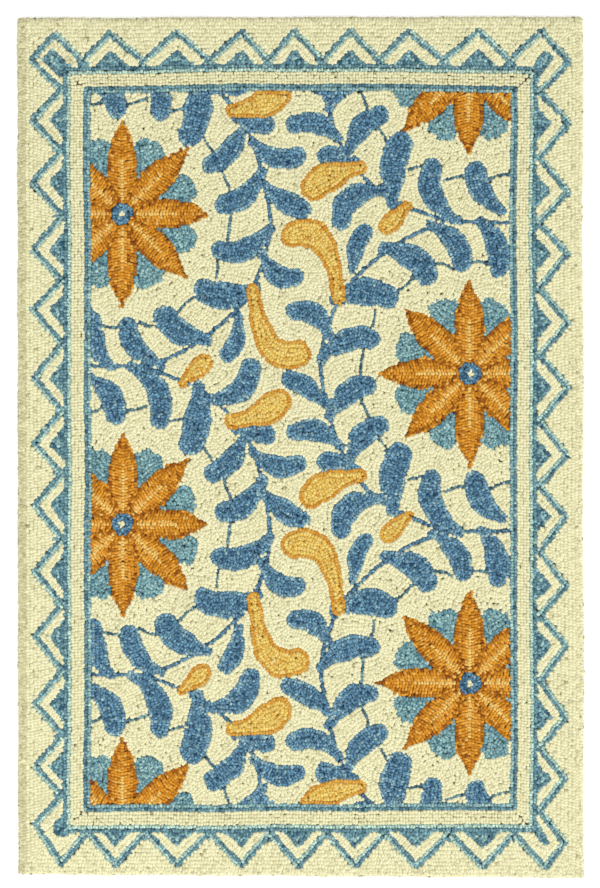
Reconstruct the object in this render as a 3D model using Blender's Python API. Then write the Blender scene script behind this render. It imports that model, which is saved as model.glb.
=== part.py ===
"""A small hooked wool rug lying flat, as one closed sheet.

+X runs across the rug, +Y along it towards the end that is drawn at the top, +Z up.
The origin is under the middle of the rug, on the surface it lies on.
The sheet is the turned-under foundation cloth and the loop pile on it. Its underside
is flat, its pile rounds over the edge, and its top is slightly uneven.
"""
import math

import bmesh
import bpy
from mathutils import Vector

# Driving dimensions, in metres
RUG_WIDTH = 0.610
RUG_LENGTH = 0.926
BACKING_THICKNESS = 0.0025  # foundation cloth, its coating and the turned hem
PILE_HEIGHT = 0.0060  # from the foundation cloth to the tops of the loops
CORNER_RADIUS = 0.0080
PILE_ROLL = 0.0045  # the outer loops lean out and round the upper edge
HEM_ROUND = 0.0010  # the fold of the cloth along the lower edge

# The hand-made unevenness, in metres
TOP_SWELL = 0.00035
TOP_SWELL_ACROSS = 0.17  # from one swell to the next, along X
TOP_SWELL_ALONG = 0.23  # likewise along Y

# How each edge wanders, outwards from the straight rectangle. "lean" is how far its
# far end (+X or +Y) lies out and its near end in, "bow" how far its middle lies out,
# and "ripple" the height of its "waves" along the length.
EDGE_DRIFT = (
    {"edge": "top", "lean": 0.0008, "bow": 0.0002, "ripple": 0.0003, "waves": 4},
    {"edge": "bottom", "lean": 0.0019, "bow": 0.0000, "ripple": 0.0003, "waves": 5},
    {"edge": "left", "lean": 0.0005, "bow": 0.0001, "ripple": 0.0003, "waves": 7},
    {"edge": "right", "lean": -0.0006, "bow": -0.0003, "ripple": 0.0007, "waves": 3},
)

# How finely the sheet is divided
CELLS_ACROSS = 16
CELLS_ALONG = 24
CORNER_STEPS = 4
ROLL_STEPS = 4
HEM_STEPS = 1

WOOL_COLOUR = (0.72, 0.66, 0.47, 1.0)  # linear, the cream ground of the pile
WOOL_ROUGHNESS = 0.95

THICKNESS = BACKING_THICKNESS + PILE_HEIGHT
NEAR = 1e-6


def clear_scene():
    for thing in list(bpy.data.objects):
        bpy.data.objects.remove(thing, do_unlink=True)


def wool_material():
    material = bpy.data.materials.new("hooked_wool")
    material.use_nodes = True
    shader = material.node_tree.nodes["Principled BSDF"]
    shader.inputs["Base Color"].default_value = WOOL_COLOUR
    shader.inputs["Roughness"].default_value = WOOL_ROUGHNESS
    shader.inputs["Metallic"].default_value = 0.0
    return material


def flat_block(bm):
    """A divided rectangle, extruded up to the height of the pile."""
    bmesh.ops.create_grid(bm, x_segments=CELLS_ACROSS, y_segments=CELLS_ALONG, size=0.5)
    bmesh.ops.scale(bm, vec=(RUG_WIDTH, RUG_LENGTH, 1.0), verts=bm.verts)
    raised = bmesh.ops.extrude_face_region(bm, geom=bm.faces[:])
    lifted = [part for part in raised["geom"] if isinstance(part, bmesh.types.BMVert)]
    bmesh.ops.translate(bm, vec=(0.0, 0.0, THICKNESS), verts=lifted)
    bmesh.ops.recalc_face_normals(bm, faces=bm.faces[:])


def is_upright(edge):
    low, high = sorted(vert.co.z for vert in edge.verts)
    return high - low > THICKNESS - NEAR


def is_corner(edge):
    """True for an upright edge where two sides of the block meet."""
    one, other = edge.link_faces
    return is_upright(edge) and abs(one.normal.dot(other.normal)) < 0.5


def rim(bm, height):
    """The edges all round the block at this height, between its flat face and a side."""
    found = []
    for edge in bm.edges:
        level = all(abs(vert.co.z - height) < NEAR for vert in edge.verts)
        one, other = edge.link_faces
        if level and abs(one.normal.z - other.normal.z) > 0.5:
            found.append(edge)
    return found


def round_off(bm, edges, radius, steps):
    bmesh.ops.bevel(
        bm, geom=edges, offset=radius, segments=steps, profile=0.5, affect="EDGES"
    )
    bm.normal_update()


def join_underside(bm):
    """The underside is one flat face, so the divisions it had are dissolved."""
    under = [face for face in bm.faces if face.normal.z < -0.999]
    bmesh.ops.dissolve_faces(bm, faces=under, use_verts=True)


def drift(edge_name, along):
    """How far the named edge lies out at this place, which runs from -1 to 1 along it."""
    row = next(row for row in EDGE_DRIFT if row["edge"] == edge_name)
    ripple = row["ripple"] * math.sin(math.pi * row["waves"] * along)
    return row["lean"] * along + row["bow"] * (1.0 - along * along) + ripple


def swell(x, y):
    """The slow rise and fall of the pile's top."""
    across = math.sin(2.0 * math.pi * x / TOP_SWELL_ACROSS + 0.6)
    along = math.cos(2.0 * math.pi * y / TOP_SWELL_ALONG)
    return TOP_SWELL * (across * along - 1.0) / 2.0


def make_uneven(bm):
    """Shifts the edges by their drift, fading to none in the middle, and sinks the top."""
    for vert in bm.verts:
        across = 2.0 * vert.co.x / RUG_WIDTH
        along = 2.0 * vert.co.y / RUG_LENGTH
        side = "right" if across > 0.0 else "left"
        end = "top" if along > 0.0 else "bottom"
        out_x = drift(side, along) * across * abs(across)
        out_y = drift(end, across) * along * abs(along)
        down = swell(vert.co.x, vert.co.y) * vert.co.z / THICKNESS
        vert.co += Vector((out_x, out_y, down))


def centre(bm):
    """Puts the middle of the rug's extent over the origin."""
    xs = [vert.co.x for vert in bm.verts]
    ys = [vert.co.y for vert in bm.verts]
    middle = Vector(((min(xs) + max(xs)) / 2.0, (min(ys) + max(ys)) / 2.0, 0.0))
    bmesh.ops.translate(bm, vec=-middle, verts=bm.verts)


def hooked_rug(collection):
    bm = bmesh.new()
    flat_block(bm)
    round_off(bm, [edge for edge in bm.edges if is_corner(edge)], CORNER_RADIUS, CORNER_STEPS)
    round_off(bm, rim(bm, THICKNESS), PILE_ROLL, ROLL_STEPS)
    round_off(bm, rim(bm, 0.0), HEM_ROUND, HEM_STEPS)
    join_underside(bm)
    make_uneven(bm)
    centre(bm)
    bmesh.ops.recalc_face_normals(bm, faces=bm.faces[:])
    mesh = bpy.data.meshes.new("hooked_rug")
    bm.to_mesh(mesh)
    bm.free()
    mesh.shade_smooth()
    mesh.set_sharp_from_angle(angle=math.radians(40.0))
    mesh.materials.append(wool_material())
    rug = bpy.data.objects.new("hooked_rug", mesh)
    collection.objects.link(rug)
    return rug


def main():
    clear_scene()
    collection = bpy.data.collections.new("hooked rug")
    bpy.context.scene.collection.children.link(collection)
    hooked_rug(collection)


main()
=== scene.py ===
import itertools
import math

import bpy
import numpy as np
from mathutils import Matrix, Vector
from mathutils.kdtree import KDTree


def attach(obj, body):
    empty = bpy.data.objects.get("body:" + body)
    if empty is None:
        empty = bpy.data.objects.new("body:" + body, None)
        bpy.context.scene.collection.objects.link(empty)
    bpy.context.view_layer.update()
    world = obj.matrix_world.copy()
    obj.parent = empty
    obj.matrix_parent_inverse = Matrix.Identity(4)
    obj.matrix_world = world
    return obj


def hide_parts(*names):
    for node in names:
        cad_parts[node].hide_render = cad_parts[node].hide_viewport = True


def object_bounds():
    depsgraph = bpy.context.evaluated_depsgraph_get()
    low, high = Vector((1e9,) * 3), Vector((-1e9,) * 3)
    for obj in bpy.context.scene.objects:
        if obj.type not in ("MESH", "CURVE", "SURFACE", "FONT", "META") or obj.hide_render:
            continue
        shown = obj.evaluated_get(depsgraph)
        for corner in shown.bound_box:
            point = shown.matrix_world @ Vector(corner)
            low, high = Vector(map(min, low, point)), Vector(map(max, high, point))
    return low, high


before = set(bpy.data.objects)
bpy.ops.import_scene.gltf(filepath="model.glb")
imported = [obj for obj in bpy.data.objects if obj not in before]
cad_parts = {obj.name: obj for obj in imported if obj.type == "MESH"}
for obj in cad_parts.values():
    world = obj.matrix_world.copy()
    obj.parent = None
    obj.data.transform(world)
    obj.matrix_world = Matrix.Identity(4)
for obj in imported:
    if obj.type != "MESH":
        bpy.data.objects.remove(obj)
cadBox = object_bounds()

mm = 0.001  # the design is drawn in millimetres, the meshes in metres


def linear(hexColour):
    # sRGB hex to the linear colour that the nodes work in
    parts = [int(hexColour[i:i + 2], 16) / 255 for i in (1, 3, 5)]
    return (*(c / 12.92 if c <= 0.04045 else ((c + 0.055) / 1.055) ** 2.4 for c in parts), 1.0)


def newMaterial(name):
    material = bpy.data.materials.new(name)
    material.use_nodes = True
    material.node_tree.nodes.clear()
    return material


def addNode(material, kind, sockets=None, **settings):
    # a socket's value is a constant, or another node's output to link it to
    tree = material.node_tree
    node = tree.nodes.new("ShaderNode" + kind)
    for name, value in settings.items():
        setattr(node, name, value)
    for name, value in (sockets or {}).items():
        if isinstance(value, bpy.types.NodeSocket):
            tree.links.new(value, node.inputs[name])
        else:
            node.inputs[name].default_value = value
    return node


def addObject(name, data):
    thing = bpy.data.objects.new(name, data)
    bpy.context.scene.collection.objects.link(thing)
    return thing


# The rug as the frame holds it, with the same uneven edges and top

rug = {  # millimetres
    "width": 610.0,
    "length": 926.0,
    "thickness": 8.5,
    "clothThickness": 2.5,
    "cornerRadius": 3.0,
    "pileRoll": 4.5,  # radius that the outer loops follow over the edge
    "swell": 0.35,
    "swellAcross": 170.0,
    "swellAlong": 230.0,
    "swellPhase": 0.6,
}

edgeDrift = {  # millimetres outwards from the straight edge
    "top": {"lean": 0.8, "bow": 0.2, "ripple": 0.3, "waves": 4},
    "bottom": {"lean": 1.9, "bow": 0.0, "ripple": 0.3, "waves": 5},
    "left": {"lean": 0.5, "bow": 0.1, "ripple": 0.3, "waves": 7},
    "right": {"lean": -0.6, "bow": -0.3, "ripple": 0.7, "waves": 3},
}

halfWidth, halfLength = rug["width"] / 2, rug["length"] / 2


def drift(side, along):
    row = edgeDrift[side]
    ripple = row["ripple"] * np.sin(math.pi * row["waves"] * along)
    return row["lean"] * along + row["bow"] * (1 - along ** 2) + ripple


def uneven(x, y):
    # moves places on the straight rectangle to where the hand-made edges put them
    across, along = x / halfWidth, y / halfLength
    side = np.where(across > 0, drift("right", along), drift("left", along))
    end = np.where(along > 0, drift("top", across), drift("bottom", across))
    return x + side * across * np.abs(across), y + end * along * np.abs(along)


def middleOfEdges():
    # the middle of the rug's extent, which lies over the origin
    t = np.linspace(-1, 1, 201)
    x, y = t * halfWidth, t * halfLength
    right, left = uneven(halfWidth + 0 * t, y)[0], uneven(-halfWidth + 0 * t, y)[0]
    top, bottom = uneven(x, halfLength + 0 * t)[1], uneven(x, -halfLength + 0 * t)[1]
    return (right.max() + left.min()) / 2, (top.max() + bottom.min()) / 2


middle = middleOfEdges()


def swell(x, y):
    across = np.sin(2 * math.pi * x / rug["swellAcross"] + rug["swellPhase"])
    along = np.cos(2 * math.pi * y / rug["swellAlong"])
    return rug["swell"] * (across * along - 1) / 2


# Camera, light and floor

studio = {
    "pictureSize": (600, 888),  # pixels
    "rugInPicture": 568.0,  # pixels from its left edge to its right
    "rugBelow": 3.3,  # pixels that its middle stands below the picture's
    "rugAside": 0.7,  # and to the right of it
    "lens": 100.0,  # millimetres, as is the sensor, which spans the picture's height
    "sensor": 36.0,
    "clipEnd": 50.0,  # metres, as are the places and sizes
    "skyStrength": 0.59,
    "keyPower": 462.0,  # watts
    "keyPlace": (4.3, -3.6, 5.7),
    "keySize": 3.0,
    "fillPower": 17.0,
    "fillPlace": (-1.8, -0.9, 1.7),
    "fillSize": 1.5,
    "floorSide": 20.0,
    "floorMottle": 0.6,  # patches to the metre
    "floorGlow": 0.38,  # lit from below like a photographer's table, so that it stays white
}


def setCamera():
    metresPerPixel = (cadBox[1].x - cadBox[0].x) / studio["rugInPicture"]
    height = studio["pictureSize"][1] * metresPerPixel
    distance = height / 2 / (studio["sensor"] / 2 / studio["lens"])
    data = bpy.data.cameras.new("camera")
    data.lens = studio["lens"]
    data.sensor_width = studio["sensor"]
    data.clip_end = studio["clipEnd"]
    camera = addObject("camera", data)
    aside, below = studio["rugAside"] * metresPerPixel, studio["rugBelow"] * metresPerPixel
    camera.location = (-aside, below, cadBox[1].z + distance)
    bpy.context.scene.camera = camera


def addLight(name, place, size, power):
    data = bpy.data.lights.new(name, "AREA")
    data.shape = "DISK"
    data.size = size
    data.energy = power
    light = addObject(name, data)
    light.location = place
    light.rotation_euler = (-Vector(place)).to_track_quat("-Z", "Y").to_euler()


def setSky():
    world = bpy.data.worlds.new("studio")
    bpy.context.scene.world = world
    world.use_nodes = True
    background = world.node_tree.nodes["Background"]
    background.inputs["Color"].default_value = linear("#fdfdff")
    background.inputs["Strength"].default_value = studio["skyStrength"]


def whitePaintedFloor():
    # Matt white emulsion: nearly all the light comes back, with no gloss
    material = newMaterial("whiteEmulsion")
    place = addNode(material, "TexCoord")
    mottle = addNode(material, "TexNoise", {
        "Vector": place.outputs["Object"], "Scale": studio["floorMottle"]})
    tone = addNode(material, "Mix", {
        0: mottle.outputs["Fac"], 6: linear("#fbfbfb"), 7: linear("#ffffff")}, data_type="RGBA")
    shader = addNode(material, "BsdfPrincipled", {
        "Base Color": tone.outputs[2], "Roughness": 0.95, "Specular IOR Level": 0.1,
        "Emission Color": linear("#ffffff"), "Emission Strength": studio["floorGlow"]})
    addNode(material, "OutputMaterial", {"Surface": shader.outputs[0]})
    return material


def addFloor():
    half = studio["floorSide"] / 2
    corners = [(-half, -half, 0), (half, -half, 0), (half, half, 0), (-half, half, 0)]
    mesh = bpy.data.meshes.new("floor")
    mesh.from_pydata(corners, [], [(0, 1, 2, 3)])
    mesh.materials.append(whitePaintedFloor())
    floor = addObject("floor", mesh)


setCamera()
setSky()
addLight("key", studio["keyPlace"], studio["keySize"], studio["keyPower"])
addLight("fill", studio["fillPlace"], studio["fillSize"], studio["fillPower"])
addFloor()
bpy.context.scene.view_settings.view_transform = "Standard"
print("camera, light and floor are set")

# The design, in millimetres from the rug's middle. Each shape is painted onto a fine grid
# that holds which shape a place is in and how deep inside that shape it lies

# How far in from the rug's edge the zigzag's peaks and valleys, the triangles' tips and the
# middles of the two frame lines lie. The peaks drift by lean and bow, and zigzag is the
# width of its line
borderLines = {
    "top": {
        "peak": 16.1, "lean": -1.0, "bow": -1.4, "valley": 47.3,
        "tip": 35.4, "outer": 54.8, "inner": 75.8, "zigzag": 7.4},
    "right": {
        "peak": 18.2, "lean": -2.8, "bow": 0.0, "valley": 47.6,
        "tip": 34.6, "outer": 54.4, "inner": 75.5, "zigzag": 7.8},
    "bottom": {
        "peak": 12.0, "lean": -0.7, "bow": 0.0, "valley": 47.7,
        "tip": 31.8, "outer": 51.8, "inner": 74.5, "zigzag": 7.6},
    "left": {
        "peak": 18.4, "lean": -1.9, "bow": 2.2, "valley": 47.8,
        "tip": 34.4, "outer": 52.4, "inner": 74.3, "zigzag": 7.6},
}

toothPeaks = {  # along each side from the rug's middle, clockwise from the top left
    "top": (-264, -205, -133, -63, -7, 54, 116, 192, 259),
    "right": (415, 349, 275, 208, 134, 64, -9, -75, -149, -213, -290, -356, -424),
    "bottom": (263, 196, 124, 58, -3, -64, -134, -200, -259),
    "left": (-408, -346, -278, -205, -135, -63, 3, 74, 147, 212, 285, 352, 417),
}

border = {
    "outerLine": 8.2,  # width of each frame line, two rows
    "innerLine": 7.6,
    "triangleFoot": 0.56,  # of the tooth's width, before the rounding
    "triangleWaist": 0.27,  # and half way up
    "triangleRound": 2.0,
    "joint": (11.0, 6.0),  # where the zigzag meets the frame line, its height and half its width
    "stripeRows": 4,
    "edgeRows": 11,  # of cream loops between the rim and the outer line
    "topSag": 5.0,  # the hand strays from the straight frame
    "bottomLean": 2.4,
    "leftBow": 1.4,
    "stray": 0.45,
    "strayWaves": (35.0, 27.0),  # along the sides and along the ends
}

cornerWedges = {  # each corner's wedge, as distances from the side edge and the end edge
    (-1, 1): ((26.0, 44.0), (38.5, 34.0), (58.0, 52.0), (46.5, 65.0)),
    (1, 1): (
        (53.8, 51.0), (49.3, 43.7), (42.1, 35.6), (33.1, 42.0), (34.9, 49.1),
        (44.8, 59.9), (49.3, 70.7)),
    (-1, -1): (
        (52.9, 65.4), (43.0, 61.8), (36.7, 52.8), (40.3, 43.8), (49.3, 40.2), (56.5, 45.6)),
    (1, -1): ((51.0, 62.8), (36.5, 38.5), (42.5, 33.5), (53.0, 46.6)),
}

field = {
    "halfTurn": (-5.4, 164.4),  # turned half round this place, the pattern is the same
    "repeat": 332.6,  # and it is the same again this far along
    "wander": 1.3,  # how far the hand strays from the drawn place
    "wobble": 0.55,  # and from a smooth outline
    "tendrilEnds": 4.0,  # how far tendrils run on into what they join
    "fromEnds": 60.0,  # the field lies further than this from the rug's ends
}

flower = {
    "centre": (-186.2, 86.0),
    "petals": 8,
    "petalLength": 99.0,
    "petalWidth": 32.6,
    "widestAt": 45.0,
    "taper": 2.3,
    "tip": 2.3,  # half the width of a petal's blunt tip
    "flank": 0.9,  # its edge slants, so it is nearer than straight across
    "lobeCentre": 60.0,
    "lobeHalf": (25.0, 17.8),  # outwards and sideways
    "lobeSquareness": 2.8,
    "unlike": (0.02, 1.7),  # no petal or lobe is as long as the next: a share, at most so often
    "shortest": 0.9,  # nor as long as the others, the one towards the rug's right side
    "disc": 11.8,
    "discUneven": 0.7,
    "dot": 3.6,
    "ribPitch": 3.2,
    "ribStep": 3.4,
    "ribSlant": 0.24,
    "midrib": (15.0, 58.0),  # how far out the pale middle of a petal starts and ends
    "midribTaper": 7.0,  # and how much sooner it ends one loop further to the side
}

# Leaves and pods grow from stem to round tip. bow is how far the middle of the spine
# stands to the left of the straight line, and late how far on towards the tip it bends
leaves = (
    {"stem": (-55, 181), "tip": (-100, 137), "bow": 7.5, "width": 24},
    {"stem": (-46, 164), "tip": (10, 153), "bow": -10, "width": 23},
    {"stem": (-36, 132), "tip": (-88, 97), "bow": 9, "width": 25},
    {"stem": (-34, 119), "tip": (16, 88), "bow": -4, "width": 23},
    {"stem": (-28, 70), "tip": (-91, 51), "bow": 11, "width": 25},
    {"stem": (-36, 44), "tip": (10, 20), "bow": -11, "width": 23.5},
    {"stem": (-43, 7), "tip": (-108, 10), "bow": 9, "width": 29.5},
    {"stem": (-95, -50), "tip": (-145, -12), "bow": 9, "width": 28},
    {"stem": (-62, -25), "tip": (-80, -73), "bow": 5, "width": 20},
    {"stem": (-146, -75), "tip": (-180, -24), "bow": 10, "width": 24},
    {"stem": (-200, -79), "tip": (-218, -17), "bow": 7.5, "width": 25},
    {"stem": (-177, -78), "tip": (-150, -145), "bow": 14, "width": 25},
    {"stem": (-224, -90), "tip": (-195, -143), "bow": 9, "width": 25},
    {"stem": (-105, -99), "tip": (-119, -172), "bow": 6, "width": 30},
    {"stem": (-93, -112), "tip": (-49, -69), "bow": -15, "width": 26},
    {"stem": (-64, -143), "tip": (-23, -156), "bow": 2.5, "width": 25},
)

pods = (
    {"stem": (46, -4), "tip": (-15, 58), "bow": -26, "width": 32, "late": 20},
    {"stem": (-68, -136), "tip": (-9, -105), "bow": -6, "width": 33},
    {"stem": (-121, -95), "tip": (-92, -67), "bow": 0, "width": 23},
)

vines = (
    ((-162, 254), (-106, 232), (-70, 204), (-46, 166), (-35, 126), (-27, 75),
     (-36, 31), (-54, -5), (-85, -37), (-124, -63), (-162, -78)),
    ((-162, -78), (-181, -78), (-202, -78), (-232, -77)),
)

tendrils = (
    ((-79, 139), (-76, 126), (-71, 115)),
    ((-70, 88), (-72, 74), (-74, 60)),
    ((-81, 40), (-84, 31), (-85, 21)),
    ((-106, -3), (-116, -9), (-123, -17)),
    ((-146, -33), (-157, -34), (-165, -30)),
    ((-183, -31), (-195, -35), (-206, -33)),
    ((-99, 171), (-93, 159), (-86, 152)),
    ((-189, -127), (-177, -126), (-164, -122)),
    ((-147, -138), (-136, -137), (-125, -134)),
    ((-228, -130), (-216, -127), (-207, -121)),
)

hooking = {
    "rowPitch": 4.1,
    "loopPitch": 3.2,
    "linePitch": 3.05,
    "firstRow": {"dot": 1.6, "pod": 1.75},  # from the outline, where not half a row's pitch
    "closest": 2.6,  # between loops of different rows
    "startGap": 3.25,  # between the start of a new row and any other loop
    "frameGap": 2.0,
    "zigzagGap": 2.3,
    "vineGap": 2.4,
    "petalGap": 2.4,
    "fillerGap": 2.86,  # a gap wider than this gets a loop of its own
    "fillerRow": 7,  # the row's number that such a loop is given
    "rowStray": 1.3,  # a row ends where it can't keep nearer than this to its level
    "seed": 7,
}

vineWidth, tendrilWidth = 4.6, 2.7
# the stem end's share of the width, and where along it a leaf or pod is full
leafShape = {"slim": 0.44, "fullAt": 0.55}
podShape = {"slim": 0.47, "fullAt": 0.82}
roundTip = {"steps": 26, "radius": 0.86, "narrowing": 0.14, "from": 0.7, "over": 0.3}

gridStep = 0.8
gridMargin = 4.0
gridX = np.arange(-halfWidth - gridMargin, halfWidth + gridMargin, gridStep)
gridY = np.arange(-halfLength - gridMargin, halfLength + gridMargin, gridStep)
depth = np.zeros((len(gridY), len(gridX)))
shape = np.zeros(depth.shape, np.int16)
stripeDepth = 99.0  # the stripe has rows of its own, so its depth only has to be large
beyond = 1e3  # further than anything on the rug
# how far round each kind of shape the distance to it is worked out
drawnRound = {"zigzag": 40, "tooth": 20, "line": 26, "drop": 22, "flower": 26}

shapeNames = (
    "outside", "edgeGround", "chevron", "triangle", "zigzag", "stripe", "outerLine", "innerLine",
    "fieldGround", "vine", "tendril", "leaf", "pod", "lobe", "petal", "disc", "dot")
shapeCode = {name: number for number, name in enumerate(shapeNames)}
wholeGrid = (slice(0, len(gridY)), slice(0, len(gridX)))


def windowRound(points, margin):
    # the rows and columns of the grid round these points
    points = np.asarray(points, float)
    low, high = points.min(0) - margin, points.max(0) + margin
    rows = slice(*np.searchsorted(gridY, (low[1], high[1])))
    columns = slice(*np.searchsorted(gridX, (low[0], high[0])))
    return rows, columns


def places(window):
    return np.meshgrid(gridX[window[1]], gridY[window[0]])


def paint(name, window, away, only=None):
    # away is the distance to the shape's outline, negative inside
    if away.size == 0:
        return
    inside = away < 0
    if only is not None:
        inside &= only
    depth[window] = np.where(inside, -away, np.minimum(depth[window], np.abs(away)))
    shape[window][inside] = shapeCode[name]


def awayFromPath(points, window):
    x, y = places(window)
    best = np.full(x.shape, beyond)
    points = np.asarray(points, float)
    for (x0, y0), (x1, y1) in zip(points[:-1], points[1:]):
        run = max((x1 - x0) ** 2 + (y1 - y0) ** 2, 1e-9)
        share = np.clip(((x - x0) * (x1 - x0) + (y - y0) * (y1 - y0)) / run, 0, 1)
        best = np.minimum(best, np.hypot(x - x0 - share * (x1 - x0), y - y0 - share * (y1 - y0)))
    return best


def insideOutline(points, window):
    x, y = places(window)
    inside = np.zeros(x.shape, bool)
    for (x0, y0), (x1, y1) in zip(points[:-1], points[1:]):
        if y0 != y1:
            inside ^= ((y0 > y) != (y1 > y)) & (x < (x1 - x0) * (y - y0) / (y1 - y0) + x0)
    return inside


def awayFromOutline(points, window):
    points = list(points) + [points[0]]
    away = awayFromPath(points, window)
    return np.where(insideOutline(points, window), -away, away)


def frameOffsets(line, extra=0.0):
    return [borderLines[side][line] + extra for side in ("left", "right", "bottom", "top")]


def frameStray(x, y):
    # the hand strays from the straight frame lines: the top ones sag at their ends,
    # the bottom ones lean and the left ones bow inwards
    t = x / halfWidth
    sag = np.where(y > 0, border["topSag"] * t ** 2, -border["bottomLean"] * t)
    bow = np.where(x < 0, -border["leftBow"] * (1 - (y / halfLength) ** 2), 0)
    sideWave, endWave = border["strayWaves"]
    strayX = border["stray"] * np.sin(y / sideWave + np.sign(x))
    strayY = border["stray"] * np.sin(x / endWave + np.sign(y))
    return bow + strayX, sag + strayY


def frameCorners(offsets):
    left, right, bottom, top = offsets
    x0, x1, y0, y1 = left - halfWidth, halfWidth - right, bottom - halfLength, halfLength - top
    return [(x0, y1), (x1, y1), (x1, y0), (x0, y0), (x0, y1)]


def awayFromFrame(line):
    (x0, y1), (x1, _), (_, y0) = frameCorners(frameOffsets(line))[:3]
    x, y = places(wholeGrid)
    strayX, strayY = frameStray(x, y)
    x, y = x + strayX, y + strayY
    dx, dy = np.abs(x - (x0 + x1) / 2) - (x1 - x0) / 2, np.abs(y - (y0 + y1) / 2) - (y1 - y0) / 2
    return np.hypot(np.maximum(dx, 0), np.maximum(dy, 0)) + np.minimum(np.maximum(dx, dy), 0)


def insetFromEdge(x, y):
    radius = rug["cornerRadius"]
    dx, dy = np.abs(x) - halfWidth + radius, np.abs(y) - halfLength + radius
    pastCentre = np.hypot(np.maximum(dx, 0), np.maximum(dy, 0))
    return radius - pastCentre - np.minimum(np.maximum(dx, dy), 0)


def onSide(side, along, inset):
    return {
        "top": (along, halfLength - inset),
        "bottom": (along, inset - halfLength),
        "left": (inset - halfWidth, along),
        "right": (halfWidth - inset, along),
    }[side]


def peakInset(side, along):
    line = borderLines[side]
    share = along / (halfWidth if side in ("top", "bottom") else halfLength)
    return line["peak"] + line["lean"] * share - line["bow"] * share ** 2


def zigzagPath():
    # the corners of the zigzag, and how wide its line is there
    path, widths = [], []
    for side, peaks in toothPeaks.items():
        valley = borderLines[side]["valley"]
        for number, peak in enumerate(peaks):
            if number:
                path.append(onSide(side, (peak + peaks[number - 1]) / 2, valley))
            path.append(onSide(side, peak, peakInset(side, peak)))
        widths += [borderLines[side]["zigzag"]] * (2 * len(peaks) - 1)
    return path + path[:1], np.array(widths)


def toothTriangles():
    # each stands on the outer frame line with its flanks hollowed, and so do the joints
    # between the line and the zigzag
    outlines = []
    high, wide = border["joint"]
    for side, peaks in toothPeaks.items():
        foot = borderLines[side]["outer"]
        tip = borderLines[side]["tip"] + border["triangleRound"]
        halfWay = (tip + foot) / 2
        flank = ((border["triangleWaist"] / 2, halfWay), (border["triangleFoot"] / 2, foot))
        for before, peak, after in zip(peaks, peaks[1:], peaks[2:]):
            outline = [onSide(side, peak, tip)]
            for share, inset in flank:
                outline.append(onSide(side, peak + (after - peak) * share, inset))
                outline.insert(0, onSide(side, peak + (before - peak) * share, inset))
            outlines.append(outline)
        for peak, after in zip(peaks, peaks[1:]):
            valley = (peak + after) / 2
            joint = ((valley, foot - high), (valley + wide, foot), (valley - wide, foot))
            outlines.append([onSide(side, along, inset) for along, inset in joint])
    return outlines


def wedgeOutlines():
    return [[(sideways * (halfWidth - a), endways * (halfLength - b)) for a, b in wedge]
            for (sideways, endways), wedge in cornerWedges.items()]


def drawBorder():
    # returns where the field is, inside the inner frame line
    inset = insetFromEdge(*places(wholeGrid))
    shape[:] = np.where(inset > 0, shapeCode["edgeGround"], shapeCode["outside"])
    depth[:] = inset
    path, widths = zigzagPath()
    fromZigzag = np.full(depth.shape, beyond)
    for start, end, width in zip(path[:-1], path[1:], widths):
        window = windowRound((start, end), drawnRound["zigzag"])
        fromLeg = awayFromPath((start, end), window) - width / 2
        fromZigzag[window] = np.minimum(fromZigzag[window], fromLeg)
    outer, inner = awayFromFrame("outer"), awayFromFrame("inner")
    outerHalf, innerHalf = border["outerLine"] / 2, border["innerLine"] / 2
    inTeeth = insideOutline(path, wholeGrid)
    shape[inTeeth] = shapeCode["chevron"]
    depth[inTeeth] = np.minimum(fromZigzag, np.abs(outer - outerHalf))[inTeeth]
    for outlines, rounding in ((toothTriangles(), border["triangleRound"]), (wedgeOutlines(), 0)):
        for outline in outlines:
            window = windowRound(outline, drawnRound["tooth"])
            paint("triangle", window, awayFromOutline(outline, window) - rounding)
    paint("zigzag", wholeGrid, fromZigzag, only=inset > 0)
    shape[outer < 0] = shapeCode["stripe"]
    depth[outer < 0] = stripeDepth
    paint("outerLine", wholeGrid, np.abs(outer) - outerHalf)
    paint("innerLine", wholeGrid, np.abs(inner) - innerHalf)
    inField = inner < -innerHalf
    shape[inField] = shapeCode["fieldGround"]
    depth[inField] = -inner[inField] - innerHalf
    return inField


def placed(points, turned, shift):
    # from the half-turn place to the rug, with the hand's wander in slow crossing waves
    turn = -1 if turned else 1
    points = np.asarray(points, float) * turn + field["halfTurn"] + np.array((0, shift))
    x, y = points.T
    strayX = np.sin(x / 31 + y / 47 + 0.4) + np.sin(y / 23 - x / 61 + 2.1)
    strayY = np.sin(y / 37 + x / 29 + 1.3) + np.sin(x / 53 - y / 41 + 0.2)
    return points + field["wander"] / 2 * np.stack((strayX, strayY), 1)


def smoothCurve(points, step=3.0, further=0.0):
    # Catmull-Rom through the drawn points, and a little further at both ends
    points = [np.array(p, float) for p in points]
    for end, inward in ((0, 1), (-1, -2)):
        ahead = points[end] - points[inward]
        points[end] = points[end] + ahead / np.linalg.norm(ahead) * further
    points = [2 * points[0] - points[1]] + points + [2 * points[-1] - points[-2]]
    curve = []
    for a, b, c, d in zip(points, points[1:], points[2:], points[3:]):
        count = max(2, int(np.linalg.norm(c - b) / step))
        for t in np.arange(count) / count:
            curve.append(0.5 * (2 * b + (c - a) * t + (2 * a - 5 * b + 4 * c - d) * t ** 2
                                + (3 * b - a - 3 * c + d) * t ** 3))
    return np.array(curve + [points[-2]])


def easing(t):
    t = np.clip(t, 0, 1)
    return t * t * (3 - 2 * t)


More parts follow.
